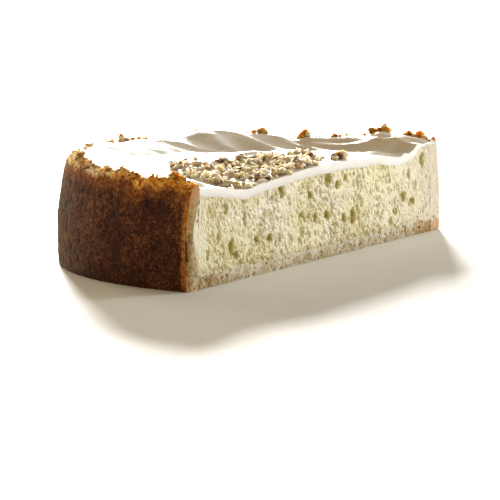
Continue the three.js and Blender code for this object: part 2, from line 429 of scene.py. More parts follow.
def make_piece(name, points, faces, materials, attributes=None, weld=True, smooth=True):
    """Puts points in millimetres and faces into a mesh in the row frame, and returns its object."""
    placed = (np.asarray(points, float) + (0, MIDDLE_Y, 0)) * MM
    mesh = bpy.data.meshes.new(name)
    mesh.from_pydata(placed, [], faces)
    for key, values in (attributes or {}).items():
        layer = mesh.attributes.new(key, "FLOAT", "POINT")
        layer.data.foreach_set("value", np.asarray(values, np.float32))
    for material in materials:
        mesh.materials.append(material)
    work = bmesh.new()
    work.from_mesh(mesh)
    if weld:
        bmesh.ops.remove_doubles(work, verts=work.verts, dist=1e-6)
        bmesh.ops.dissolve_degenerate(work, edges=work.edges, dist=1e-7)
    bmesh.ops.recalc_face_normals(work, faces=work.faces)
    if work.calc_volume(signed=True) < 0:
        bmesh.ops.reverse_faces(work, faces=work.faces)
    work.to_mesh(mesh)
    work.free()
    mesh.polygons.foreach_set("use_smooth", np.full(len(mesh.polygons), smooth))
    if smooth:
        mesh.set_sharp_from_angle(angle=math.radians(SHARP_ANGLE))
    piece = bpy.data.objects.new(name, mesh)
    bpy.context.scene.collection.objects.link(piece)
    return piece


def make_closed_piece(name, rings, materials, shades):
    """A piece from rings of points one after the other, with the last ring joined to the first."""
    faces = grid_quads(len(rings), rings.shape[1], closed=True).tolist()
    return make_piece(name, rings.reshape(-1, 3), faces, materials, shades)


def linear(hex_colour):
    """Linear red, green, blue and alpha of an sRGB hex colour such as #c8a070."""
    parts = [int(hex_colour[i : i + 2], 16) / 255 for i in (1, 3, 5)]
    return (*[p / 12.92 if p <= 0.04045 else ((p + 0.055) / 1.055) ** 2.4 for p in parts], 1.0)


def per_mm(size):
    """Texture scale in the shader that gives cells of a size in millimetres."""
    return 1 / (size * MM)


def add_node(tree, kind, inputs=None, output=0, stops=None, **settings):
    """Adds a shader node with its settings, its sockets' values or links, and a ramp's colour stops.

    Gives back the output of that name or number, or nothing where the node has no outputs.
    """
    node = tree.nodes.new("ShaderNode" + kind)
    for key, value in settings.items():
        setattr(node, key, value)
    for key, value in (inputs or {}).items():
        if isinstance(value, bpy.types.NodeSocket):
            tree.links.new(value, node.inputs[key])
        else:
            node.inputs[key].default_value = value
    if stops:
        elements = node.color_ramp.elements
        while len(elements) < len(stops):
            elements.new(1.0)
        for element, (place, colour) in zip(elements, stops):
            element.position = place
            element.color = linear(colour)
    return node.outputs[output] if node.outputs else None


def start_material(name, *attributes):
    """An empty material, its node tree, and the outputs of its Object coordinates and attributes."""
    material = bpy.data.materials.new(name)
    material.use_nodes = True
    tree = material.node_tree
    tree.nodes.clear()
    place = add_node(tree, "TexCoord", output="Object")
    shares = [add_node(tree, "Attribute", output="Fac", attribute_name=key) for key in attributes]
    return material, tree, place, *shares


def finish_material(material, place, colour, grain, detail, strength, depth, **sockets):
    """Links a colour and a bump of noise to a Principled shader.

    The bump's grain and depth are in millimetres. The other sockets are named with underscores.
    """
    tree = material.node_tree
    noise = add_node(tree, "TexNoise", {"Vector": place, "Scale": per_mm(grain), "Detail": detail})
    bump = add_node(tree, "Bump", {"Height": noise, "Strength": strength, "Distance": depth * MM})
    named = {key.replace("_", " "): value for key, value in sockets.items()}
    shader = add_node(tree, "BsdfPrincipled", {"Base Color": colour, "Normal": bump, **named})
    add_node(tree, "OutputMaterial", {"Surface": shader})
    return material


def baked_crumb_material():
    """Biscuit crumb, pressed and baked: dry and rough, darker brown painted as shade in its hollows, and
    golden and orange at the rim, partly a painted glow.
    """
    shares = ("hollow_shade", "warm", "toast", "orange_and_glow")
    material, tree, place, hollow_shade, warm, toast, orange_and_glow = start_material("baked_biscuit_crumb", *shares)
    crumbs = add_node(tree, "TexVoronoi", {"Vector": place, "Scale": per_mm(0.8)}, output="Color")
    crumb_tone = add_node(tree, "SeparateColor", {"Color": crumbs}, output="Red")
    patches = add_node(tree, "TexNoise", {"Vector": place, "Scale": per_mm(20), "Detail": 5.0})
    mixed = add_node(tree, "Mix", {"Factor": 0.55, 2: crumb_tone, 3: patches})
    # Painted shade: the brown ramp is read darker where the hollow share is high.
    tone = add_node(tree, "Math", {0: hollow_shade, 1: -0.32, 2: mixed}, operation="MULTIPLY_ADD")
    brown = add_node(tree, "ValToRGB", {"Fac": tone}, stops=BROWN_CRUMB)
    russet = add_node(tree, "ValToRGB", {"Fac": mixed}, stops=RUSSET_CRUMB)
    wall = add_node(tree, "Mix", {"Factor": warm, 6: brown, 7: russet}, output=2, data_type="RGBA")
    rough = add_node(tree, "TexVoronoi", {"Vector": place, "Scale": per_mm(1.5)}, output="Color")
    rough_tone = add_node(tree, "SeparateColor", {"Color": rough}, output="Green")
    rim_tone = add_node(tree, "Mix", {"Factor": 0.55, 2: mixed, 3: rough_tone})
    # Golden rim, its palest stops partly a painted glow.
    gold_and_glow = add_node(tree, "ValToRGB", {"Fac": rim_tone}, stops=GOLDEN_AND_GLOW_CRUMB)
    # Orange of toasted crumbs, partly a painted glow of the backlit rim.
    orange_glow = add_node(tree, "ValToRGB", {"Fac": rim_tone}, stops=ORANGE_AND_GLOW_CRUMB)
    rim = add_node(tree, "Mix", {"Factor": orange_and_glow, 6: gold_and_glow, 7: orange_glow}, output=2, data_type="RGBA")
    colour = add_node(tree, "Mix", {"Factor": toast, 6: wall, 7: rim}, output=2, data_type="RGBA")
    return finish_material(
        material,
        place,
        colour,
        grain=0.8,
        detail=4.0,
        strength=0.7,
        depth=0.35,
        Roughness=0.85,
        Specular_IOR_Level=0.25,
        Subsurface_Weight=add_node(tree, "MapRange", {"Value": toast, "To Min": 0.03, "To Max": 0.7}),
        Subsurface_Radius=(1.0, 0.6, 0.2),
        Subsurface_Scale=3.2 * MM,
    )


def cut_crumb_material():
    """The same biscuit crumb where the knife went through: matt, pale tan with browner specks."""
    material, tree, place, pale, baked = start_material("sliced_biscuit_crumb", "pale", "baked")
    crumbs = add_node(tree, "TexVoronoi", {"Vector": place, "Scale": per_mm(1.1)}, output="Color")
    tone = add_node(tree, "SeparateColor", {"Color": crumbs}, output="Red")
    tan = add_node(tree, "ValToRGB", {"Fac": tone}, stops=TAN_CRUMB)
    light = add_node(tree, "ValToRGB", {"Fac": tone}, stops=PALE_CRUMB)
    plain = add_node(tree, "Mix", {"Factor": pale, 6: tan, 7: light}, output=2, data_type="RGBA")
    browned = {"Factor": baked, 6: plain, 7: linear("#c4844c")}
    colour = add_node(tree, "Mix", browned, output=2, data_type="RGBA")
    return finish_material(
        material,
        place,
        colour,
        grain=0.8,
        detail=4.0,
        strength=0.9,
        depth=0.4,
        Roughness=0.8,
        IOR=1.45,
        Subsurface_Weight=0.15,
        Subsurface_Radius=(1.0, 0.6, 0.3),
        Subsurface_Scale=2 * MM,
    )


def filling_material():
    """Baked cheese custard: pale yellow, moist, with a deeper olive yellow painted as shade inside its
    holes.
    """
    names, tints = zip(*CUSTARD_TINTS)
    material, tree, place, *shares = start_material("baked_cheese_custard", *names)
    patches = add_node(tree, "TexNoise", {"Vector": place, "Scale": per_mm(18), "Detail": 4.0})
    colour = add_node(tree, "ValToRGB", {"Fac": patches}, stops=CUSTARD)
    for share, tint in zip(shares, tints):
        tinted = {"Factor": share, 6: colour, 7: linear(tint)}
        colour = add_node(tree, "Mix", tinted, output=2, data_type="RGBA")
    return finish_material(
        material,
        place,
        colour,
        grain=1.2,
        detail=5.0,
        strength=0.5,
        depth=0.35,
        Roughness=0.5,
        IOR=1.42,
        Subsurface_Weight=0.2,
        Subsurface_Radius=(1.0, 0.8, 0.35),
        Subsurface_Scale=2.5 * MM,
    )


def cream_material():
    """Set sour cream: smooth, white and satin, with a little tan painted as shade on the far slope near the
    rim.
    """
    material, tree, place, painted_slope_shade = start_material("set_sour_cream", "painted_slope_shade")
    patches = add_node(tree, "TexNoise", {"Vector": place, "Scale": per_mm(22), "Detail": 2.0})
    white = add_node(tree, "ValToRGB", {"Fac": patches}, stops=CREAM_WHITE)
    # Painted shade: tan mixed into the white on the far slope, where the slope faces away from the sun.
    slope_shaded = {"Factor": painted_slope_shade, 6: white, 7: linear("#e2c593")}
    colour = add_node(tree, "Mix", slope_shaded, output=2, data_type="RGBA")
    return finish_material(
        material,
        place,
        colour,
        grain=5,
        detail=2.0,
        strength=0.25,
        depth=0.5,
        Roughness=0.38,
        IOR=1.4,
        Subsurface_Weight=0.25,
        Subsurface_Radius=(1.0, 0.9, 0.75),
        Subsurface_Scale=3 * MM,
    )


def nut_material():
    """Roasted nut meat, chopped: dry tan to yellow-green, with dark papery skins on some faces, and the
    same dark colour painted as shade on their undersides.
    """
    material, tree, place, tone, skin_and_under_shade = start_material("chopped_roasted_nut", "tone", "skin_and_under_shade")
    meat = add_node(tree, "ValToRGB", {"Fac": tone}, stops=NUT_MEAT)
    patches = add_node(tree, "TexNoise", {"Vector": place, "Scale": per_mm(1.5), "Detail": 3.0})
    papery = add_node(tree, "ValToRGB", {"Fac": patches}, stops=NUT_SKIN)
    # Dark colour: the real skins on some faces, and painted shade on the undersides.
    colour = add_node(tree, "Mix", {"Factor": skin_and_under_shade, 6: meat, 7: papery}, output=2, data_type="RGBA")
    return finish_material(
        material,
        place,
        colour,
        grain=1.5,
        detail=3.0,
        strength=0.4,
        depth=0.2,
        Roughness=0.6,
        IOR=1.47,
        Subsurface_Weight=0.8,
        Subsurface_Radius=(1.0, 0.86, 0.66),
        Subsurface_Scale=3.4 * MM,
    )


def floor_material():
    """A plain pale studio floor: matt white paint."""
    material, tree, place = start_material("white_studio_floor")
    grain = add_node(tree, "TexNoise", {"Vector": place, "Scale": per_mm(40), "Detail": 2.0})
    white = add_node(tree, "ValToRGB", {"Fac": grain}, stops=FLOOR_WHITE)
    return finish_material(material, place, white, 40, 2.0, 0.05, 0.2, Roughness=0.7)


def stone_forms(random, count, planes, detail):
    """Chopped or broken lumps of about unit size, and their triangles.

    Along each direction of a sphere a lump reaches to the nearest of its random planes:
    the least of the planes' distances over the cosines between direction and plane.
    """
    work = bmesh.new()
    bmesh.ops.create_icosphere(work, subdivisions=detail, radius=1)
    ways = np.array([vertex.co for vertex in work.verts])
    triangles = np.array([[vertex.index for vertex in face.verts] for face in work.faces])
    work.free()
    normals = random.normal(size=(count, planes, 3))
    normals /= np.linalg.norm(normals, axis=-1, keepdims=True)
    distances = random.uniform(0.5, 1.0, (count, planes))
    cosines = np.einsum("vk,lpk->lvp", ways, normals)
    reach = np.where(cosines > 0.05, distances[:, None, :] / np.maximum(cosines, 0.05), 1.25)
    reach = np.minimum(reach.min(axis=-1), 1.25)
    return ways[None] * reach[..., None], triangles


def shard_forms(random, count, corners=9, kinds=70):
    """Sharp-edged pieces: hulls of random points on a sphere, their triangles cut in four and dented."""
    shapes, shape_triangles = [], []
    for _ in range(kinds):
        ways = random.normal(size=(corners, 3))
        ways /= np.linalg.norm(ways, axis=-1, keepdims=True)
        work = bmesh.new()
        for way in ways:
            work.verts.new(way)
        bmesh.ops.convex_hull(work, input=work.verts)
        bmesh.ops.recalc_face_normals(work, faces=work.faces)
        bmesh.ops.subdivide_edges(work, edges=work.edges, cuts=1, use_grid_fill=True)
        bmesh.ops.triangulate(work, faces=work.faces)
        work.verts.index_update()
        shapes.append([vertex.co[:] for vertex in work.verts])
        shape_triangles.append([[vertex.index for vertex in face.verts] for face in work.faces])
        work.free()
    chosen = random.integers(0, kinds, count)
    forms = np.array(shapes)[chosen]
    middles = forms.mean(axis=1, keepdims=True)
    forms = (forms - middles) * 1.15
    dents = 1 + 0.22 * (soft_noise(forms + 7, 0.45, 141) - 0.5)
    return forms * dents[..., None], np.array(shape_triangles)[chosen]


def turned_randomly(random, forms):
    """Each lump turned by a random unit quaternion.

    A point moves by twice its cross product with the quaternion's vector times the quaternion's
    number, and by twice the cross product of that vector with the first cross product.
    """
    number, *vector = random.normal(size=(4, len(forms)))
    length = np.sqrt(number**2 + sum(part**2 for part in vector))
    vector = np.stack([part / length for part in vector], axis=-1)[:, None]
    sideways = np.cross(vector, forms)
    return forms + 2 * ((number / length)[:, None, None] * sideways + np.cross(vector, sideways))


def make_lumps(name, forms, triangles, places, material, shades, smooth):
    """One piece from many lumps: each lump's points are moved to its place, and the faces repeat.

    A shade holds one number for each lump, or one for each point of each lump.
    """
    count, corners = forms.shape[:2]
    points = (forms + places[:, None, :]).reshape(-1, 3)
    own = np.broadcast_to(triangles, (count, *triangles.shape[-2:]))
    faces = (own + corners * np.arange(count)[:, None, None]).reshape(-1, 3)
    shades = {
        key: np.broadcast_to(values.reshape(count, -1), (count, corners)).reshape(-1)
        for key, values in shades.items()
    }
    return make_piece(name, points, faces, [material], shades, weld=False, smooth=smooth)


def cut_angles(columns, radius):
    """Angles from the far end of the cut to its near end, at a radius, in radians, evenly spaced."""
    start = np.arcsin(CUT_OFFSET / radius)
    share = np.linspace(0, 1, columns)[None, :]
    return start + share * (math.pi - 2 * start)


class CrustSettings(bpy.types.PropertyGroup):
    """Sizes of the crumb crust."""

    columns: IntProperty(name="Columns", description="Points along the round wall", default=640, min=60)
    wall_rows: IntProperty(name="Wall rows", description="Points up the wall", default=62, min=8)
    crest_rows: IntProperty(name="Crest rows", description="Points across the rim", default=13, min=4)
    grain_depth: FloatProperty(
        name="Grain depth", description="Depth between the crumbs, in mm", default=0.5, min=0
    )
    rim_roughness: FloatProperty(
        name="Rim roughness", description="Height of the rim's crags, in mm", default=3.0, min=0
    )
    loose_crumbs: IntProperty(
        name="Rim crumbs", description="Small crumbs on the rim", default=620, min=0
    )
    group_crumbs: IntProperty(
        name="Crumbs in a group", description="Crumbs in each large group on the rim", default=12, min=1
    )


class FillingSettings(bpy.types.PropertyGroup):
    """Sizes of the baked cheese filling."""

    columns: IntProperty(name="Columns", description="Points along the cut", default=680, min=60)
    rows: IntProperty(name="Rows", description="Points up the cut face", default=104, min=12)
    small_holes: IntProperty(name="Small holes", description="Holes in the cut face", default=420, min=0)


class CreamSettings(bpy.types.PropertyGroup):
    """Sizes of the sour cream."""

    columns: IntProperty(name="Columns", description="Points along the cream", default=320, min=40)
    rows: IntProperty(name="Rows", description="Points from the cut to the rim", default=130, min=12)
    ridge_height: FloatProperty(
        name="Ridge height", description="Height of the spoon's ridges, in mm", default=1.3, min=0
    )


class NutSettings(bpy.types.PropertyGroup):
    """Numbers and sizes of the chopped nuts."""

    pieces: IntProperty(name="Pieces", description="Pieces of chopped nut", default=720, min=0)
    longest: FloatProperty(name="Longest", description="Largest piece, in mm", default=5.8, min=1)
    shortest: FloatProperty(name="Shortest", description="Smallest piece, in mm", default=1.6, min=0.3)


class StageSettings(bpy.types.PropertyGroup):
    """The camera and the light."""

    lens: FloatProperty(name="Lens", description="Focal length", default=172.8, unit="CAMERA")
    camera_place: FloatVectorProperty(
        name="Camera place",
        description="Where the camera stands",
        default=(-0.9747, -0.5473, 0.1414),
        subtype="TRANSLATION",
    )
    camera_yaw: FloatProperty(
        name="Yaw", description="Turn from +X", default=math.radians(28.37), subtype="ANGLE"
    )
    camera_pitch: FloatProperty(
        name="Pitch", description="Tilt down", default=math.radians(7.21), subtype="ANGLE"
    )
    camera_roll: FloatProperty(
        name="Roll", description="Roll about the view", default=math.radians(-0.16), subtype="ANGLE"
    )
    back_light: FloatProperty(name="Back light", description="Strength of the sun behind", default=10.5)
    side_light: FloatProperty(
        name="Side light", description="Power of the panel that faces the cut", default=32, unit="POWER"
    )
    left_light: FloatProperty(
        name="Left light", description="Power of the panel for the left edge", default=28, unit="POWER"
    )
    fill_colour: FloatVectorProperty(
        name="Fill colour", description="Light all round", default=(0.375, 0.3, 0.19), subtype="COLOR"
    )


class CheesecakeSettings(bpy.types.PropertyGroup):
    """All settings of the half cake."""

    crust: PointerProperty(type=CrustSettings)
    filling: PointerProperty(type=FillingSettings)
    cream: PointerProperty(type=CreamSettings)
    nuts: PointerProperty(type=NutSettings)
    stage: PointerProperty(type=StageSettings)


def crest_height(angle, share, radius):
    """Height of the rim's top across its width: a low dome, and crags of three sizes of grain on it."""
    flat = round_points(radius, np.radians(angle), 0)
    crags = (
        0.9 * (grain_noise(flat, LUMP_SIZE, 59) - 0.7)
        + 0.6 * (grain_noise(flat, GRAIN_LARGE, 61) - 0.7)
        + 0.3 * (grain_noise(flat, GRAIN_SMALL, 67) - 0.6)
    )
    dome = 0.3 - 1.5 * (2 * share - 0.9) ** 2
    cover = cream_cover(angle)
    roughness = bpy.context.scene.cheesecake.crust.rim_roughness * (1 - 0.75 * cover)
    return rim_height(angle) + dome - 1.3 * cover + roughness * crags


def wall_relief(points, grain_depth):
    """How far the crumbs of the wall lie inside the pan's smooth face: grains, lumps and slow waves."""
    grains = 1 - grain_noise(points, GRAIN_SMALL, 11)
    lumps = 1 - grain_noise(points, GRAIN_LARGE, 17)
    waves = soft_noise(points, WAVE_SIZE, 23)
    return grain_depth * (grains + 0.9 * lumps + 0.7 * waves - 1)


class MakeCrust(bpy.types.Operator):
    """Makes the crumb crust's wall and base."""

    bl_idname = "cheesecake.make_crust"
    bl_label = "Crumb crust"

    def execute(self, context):
        materials = [baked_crumb_material(), cut_crumb_material()]
        self.make_wall(context.scene.cheesecake.crust, materials)
        self.make_base(materials)
        return {"FINISHED"}

    def make_wall(self, settings, materials):
        """The wall's section runs up the outside, over the crest and down the inside, from cut to cut."""
        columns, rows, crest = settings.columns, settings.wall_rows, settings.crest_rows
        angle = np.degrees(cut_angles(columns, PAN_RADIUS))
        rim = rim_height(angle)
        climb = np.linspace(0, 1, rows)[:, None]
        edge_height = crest_height(angle, 0, outer_radius(rim))
        height = FOOT_HEIGHT + (edge_height - FOOT_HEIGHT) * climb
        smooth_radius = outer_radius(height)
        smooth = round_points(smooth_radius, np.radians(angle), height)
        relief = wall_relief(smooth, settings.grain_depth) * smoothstep(0, 3, height - FOOT_HEIGHT)
        outer_reach = smooth_radius - relief - CREST_ROUNDING * climb**8

        across = np.linspace(0, 1, crest)[1:-1, None]
        inner_edge = inner_radius(angle, rim)
        crest_reach = outer_reach[-1:] * (1 - across) + inner_edge * across
        inner_height = crest_height(angle, 1, inner_edge) * (1 - climb)
        rings = np.concatenate(
            [
                self.ring(np.full(angle.shape, PAN_RADIUS - FOOT_INSET), 0),
                self.ring(outer_reach, height),
                self.ring(crest_reach, crest_height(angle, across, crest_reach)),
                self.ring(inner_radius(angle, inner_height), inner_height),
            ]
        )
        points = rings.reshape(-1, 3)
        shades = self.shade_crust(points, relief)
        faces = grid_quads(len(rings), columns, closed=True).tolist()
        points, faces = self.add_caps(points, faces, rows, columns)
        extra = np.zeros(len(points) - len(shades["toast"]))
        shades = {key: np.concatenate([values, extra]) for key, values in shades.items()}
        shades.update(self.shade_cut_wall(points))
        points[:, 1] += self.broken_corner(points)
        piece = make_piece("crust_wall", points, faces, materials, shades)
        self.mark_cut(piece)
        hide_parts("crumb_crust")
        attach(piece, "root")

    def ring(self, radius, height):
        """Points at a radius and a height, from the cut's plane round to the cut's plane again."""
        return round_points(radius, cut_angles(radius.shape[-1], radius), height)

    def shade_crust(self, points, relief):
        """How toasted and how orange each point is, and where shade is painted: golden at the rim, orange
        partly as a painted glow, and darker in the hollows as painted shade.
        """
        angle = np.degrees(np.arctan2(points[:, 1], points[:, 0]))
        below = points[:, 2] - rim_height(angle)
        ragged = 3 * (soft_noise(points, 7.0, 137) - 0.5) + 2 * (soft_noise(points, 1.6, 139) - 0.5)
        near_end = smoothstep(142, 166, angle)
        near_cut = smoothstep(4.6, 1.2, points[:, 1] - CUT_OFFSET) * (points[:, 0] < 0)
        toast = smoothstep(-3.0 - 2.0 * smoothstep(162, 170, angle), -0.6, below + ragged)
        warm = 0.85 * smoothstep(-9 - 4 * near_end, -1.5, below + 1.6 * ragged)
        # Painted shade: the deeper the wall's crumbs lie, the darker their brown.
        hollow_shade = np.zeros(len(points))
        foot = relief.shape[1]
        hollow_shade[foot : foot + relief.size] = smoothstep(0.1, 0.75, relief / 1.3 + 0.35).reshape(-1)
        # A scorched spot: real burnt colour, added below to the painted hollow shade.
        scorch = bell(angle - SCORCH_ANGLE, 1.8) * bell(points[:, 2] - SCORCH_HEIGHT, 4)
        return {
            "toast": np.maximum(toast, 0.3 * near_cut),
            "warm": np.maximum(warm, near_cut),
            # Orange, partly painted glow, at the near end and where the cream runs over the rim.
            "orange_and_glow": np.clip(near_end + cream_cover(angle), 0, 1),
            "hollow_shade": hollow_shade + 0.7 * scorch * smoothstep(0.2, 0.8, soft_noise(points, 2.0, 143)),
        }

    def shade_cut_wall(self, points):
        """How pale and how baked the sliced wall is: paler to the far end, whose foot is golden."""
        x, y, z = points.T
        under_skin = outer_radius(z) - np.hypot(x, y)
        mottle = soft_noise(points, 4.0, 149)
        golden_foot = smoothstep(8.5, 5.5, z + 3 * mottle) * (x > 0)
        pale = np.maximum(smoothstep(-20, 60, x) - 0.3 * mottle, 0.3 * smoothstep(2, 7, under_skin))
        browned = np.maximum(0.9 * smoothstep(26, 46, z), 0.6 * smoothstep(2.2, 0.2, under_skin))
        return {
            "pale": pale * (1 - 0.6 * golden_foot),
            "baked": browned * smoothstep(0, 60, -x) + 0.4 * golden_foot,
        }

    def broken_corner(self, points):
        """How far the near outer corner is broken off behind the cut: a bell up the wall, fading inward."""
        x, y, z = points.T
        under_skin = outer_radius(z) - np.hypot(x, y)
        depth = 0.5 + 1.4 * bell(z - 14, 9)
        return depth * smoothstep(3.2, 0, under_skin) * smoothstep(4, 0, y - CUT_OFFSET) * (x < 0)

    def add_caps(self, points, faces, rows, columns):
        """Closes both ends in the cut's plane: each row spans from the outside to the inside, dented."""
        count = len(points) // columns
        across = np.linspace(0, 1, CAP_STEPS + 1)[None, 1:-1, None]
        for column in (0, columns - 1):
            outer_ids = np.arange(rows + 1) * columns + column
            inner_ids = (count - 1 - np.arange(rows + 1)) * columns + column
            left, right = points[outer_ids][:, None, :], points[inner_ids][:, None, :]
            flat = (left + (right - left) * across).reshape(-1, 3)
            dents = 0.12 * (1 - grain_noise(flat, GRAIN_SMALL, 29)) + 0.3 * soft_noise(flat, 3.0, 31)
            flat[:, 1] += dents * np.tile(np.sin(math.pi * across).reshape(-1), rows + 1)
            between = len(points) + np.arange(len(flat)).reshape(rows + 1, CAP_STEPS - 1)
            points = np.concatenate([points, flat])
            ids = np.concatenate([outer_ids[:, None], between, inner_ids[:, None]], axis=1)
            quads = np.stack([ids[:-1, :-1], ids[:-1, 1:], ids[1:, 1:], ids[1:, :-1]], axis=-1)
            faces = faces + quads.reshape(-1, 4).tolist()
            crest = [(rows + 1 + k) * columns + column for k in range(count - 2 * rows - 1)]
            faces.append(ids[-1].tolist() + crest[::-1])
        return points, faces

    def mark_cut(self, piece):
        """Gives the faces in the cut's plane the sliced crumb."""
        polygons = piece.data.polygons
        centres, normals = np.zeros(len(polygons) * 3), np.zeros(len(polygons) * 3)
        polygons.foreach_get("center", centres)
        polygons.foreach_get("normal", normals)
        near_plane = centres.reshape(-1, 3)[:, 1] < CRUST_LOW.y + CUT_RELIEF * MM
        facing = normals.reshape(-1, 3)[:, 1] < -0.5
        polygons.foreach_set("material_index", (near_plane & facing).astype(np.int32))

    def make_base(self, materials):
        """The base is a half disc: its front is a grid in the cut's plane, and its sides run back."""
        turn = cut_angles(BASE_COLUMNS, PAN_RADIUS - WALL_THICKNESS)
        reach = inner_radius(np.degrees(turn), 0) + BASE_INTO_WALL
        x, back = reach * np.cos(turn), np.maximum(reach * np.sin(turn), CUT_OFFSET)
        top = base_top(x)
        rise = np.linspace(0, 1, BASE_ROWS)[:, None]
        front = points_at(x, CUT_OFFSET - BASE_PROUD, top * rise)
        lumpy = 0.3 + 0.7 * smoothstep(90, 112, np.abs(front[..., 0]))
        dents = 0.5 * (1 - grain_noise(front, GRAIN_SMALL, 29)) + lumpy * (1 - grain_noise(front, 2.4, 33))
        dents = dents * (1 - 0.8 * smoothstep(0.7, 1, rise))
        front[..., 1] += np.minimum(dents, 0.8 * (back - CUT_OFFSET))
        deep = np.linspace(0, 1, BASE_STEPS_BACK)[1:, None]
        edge = front[-1:, :, 1]
        over = points_at(x, edge + (back - edge) * deep, top)
        under = over[::-1] * (1, 1, 0)
        rings = np.concatenate([front, over, under])
        points = rings.reshape(-1, 3)
        mottle = soft_noise(points, 3.0, 131)
        upper = smoothstep(0.35, 1.0, points[:, 2] / base_top(points[:, 0]))
        ends = smoothstep(80, 112, np.abs(points[:, 0]))
        shades = {
            "pale": np.clip(0.35 + 0.5 * upper + 0.9 * (mottle - 0.45) - 0.35 * ends, 0, 1),
            "baked": 0.4 * smoothstep(92, 114, points[:, 0]) * (1 - 0.4 * upper),
        }
        piece = make_closed_piece("crust_base", rings, materials, shades)
        self.mark_cut(piece)
        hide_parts("crumb_crust")
        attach(piece, "root")


class MakeCrumbs(bpy.types.Operator):
    """Makes the crumbs on the rim and those that the knife left on the cut crust."""

    bl_idname = "cheesecake.make_crumbs"
    bl_label = "Crumbs"

    def execute(self, context):
        self.make_rim_crumbs(context.scene.cheesecake.crust)
        self.make_cut_crumbs()
        return {"FINISHED"}

    def make_rim_crumbs(self, settings):
        """Groups of large crumbs at their angles, and small ones all along the rim, sunk a little."""
        random = np.random.default_rng(41)
        groups = np.repeat(np.array(RIM_CRUMBS, float), settings.group_crumbs, axis=0)
        first = np.tile(np.arange(settings.group_crumbs) == 0, len(RIM_CRUMBS))
        spread = np.where(first, 0, random.normal(0, 0.5, len(groups)) * groups[:, 1])
        large = groups * (1, 0.9) + np.stack([spread, 0 * spread], axis=-1)
        large[:, 1] *= np.where(first, 1, random.uniform(0.45, 0.8, len(groups)))
        count = settings.loose_crumbs
        loose_angle = random.uniform(3, 177, count)
        loose_size = 0.45 + 1.1 * random.random(count) ** 2.2
        kept = cream_cover(loose_angle) < random.random(count) + 0.12
        angle = np.concatenate([large[:, 0], loose_angle[kept]])
        size = np.concatenate([large[:, 1], loose_size[kept]])
        share = random.uniform(0.05, 0.8, len(angle))
        share[: len(large)] = random.uniform(0.1, 0.6, len(large))
        radius = outer_radius(rim_height(angle)) - 1 - share * (WALL_THICKNESS - 1)
        forms, triangles = stone_forms(random, len(angle), 11, 2)
        scale = random.uniform(0.7, 1.1, (len(angle), 1, 3)) * size[:, None, None]
        forms = turned_randomly(random, forms * scale)
        lift = np.full(len(angle), -0.1)
        lift[: len(large)] = np.where(first, 0.8, random.uniform(0, 0.9, len(groups)))
        lift = lift + 0.8 * cream_cover(angle) / size
        ground = crest_height(angle, share, radius)
        places = round_points(radius, np.radians(angle), ground + lift * size)
        places[:, 1] = np.maximum(places[:, 1], CUT_OFFSET + 0.4 * size)
        toast = np.clip(random.normal(0.9, 0.2, len(angle)), 0, 1)
        toast[: len(large)] = 1.0
        # Orange, partly painted glow of backlit crumbs, round the back and at the near end.
        back = cream_cover(angle) * (1 - smoothstep(60, 78, angle))
        orange_and_glow = np.clip(smoothstep(142, 166, angle) + back, 0, 1)
        orange_and_glow = orange_and_glow * np.where(random.random(len(angle)) < 0.85, 1, 0.2)
        shades = {"toast": toast, "orange_and_glow": orange_and_glow, "warm": np.ones(len(angle))}
        baked = bpy.data.materials["baked_biscuit_crumb"]
        piece = make_lumps("rim_crumbs", forms, triangles, places, baked, shades, smooth=True)
        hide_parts("crumb_crust")
        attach(piece, "root")

    def make_cut_crumbs(self):
        """Grains along the cut base and on the near end's cut wall, half sunk into the cut's plane."""
        random = np.random.default_rng(43)
        on_base, on_wall = CUT_CRUMBS_ON_BASE, CUT_CRUMBS_ON_WALL
        base_x = random.uniform(-118, 125, on_base)
        base_z = base_top(base_x) * np.where(random.random(on_base) < 0.5, 0.0, random.random(on_base))
        wall_z = random.uniform(1, 44, on_wall)
        wall_x = random.uniform(0.8, WALL_THICKNESS, on_wall) - outer_radius(wall_z)
        x, z = np.concatenate([base_x, wall_x]), np.concatenate([base_z, wall_z])
        size = 0.25 + 0.65 * random.random(len(x)) ** 2
        z = np.maximum(z, 1.25 * size)
        forms, triangles = stone_forms(random, len(x), 9, 2)
        forms = turned_randomly(random, forms * size[:, None, None])
        size = size * (1 + 0.5 * smoothstep(90, 110, x))
        places = points_at(x, CUT_OFFSET + 0.25 + 0.2 * size, z)
        pale = np.where(random.random(len(x)) < 0.8, random.uniform(0.5, 1, len(x)), 0.25)
        pale[on_base:] = 0.25
        golden = smoothstep(96, 110, x)
        baked = np.clip(0.75 * golden + 0.3 * smoothstep(96, 112, -x), 0, 1) * random.random(len(x))
        shades = {"pale": pale * (1 - 0.7 * golden), "baked": baked}
        sliced = bpy.data.materials["sliced_biscuit_crumb"]
        piece = make_lumps("cut_crumbs", forms, triangles, places, sliced, shades, smooth=True)
        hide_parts("crumb_crust")
        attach(piece, "root")


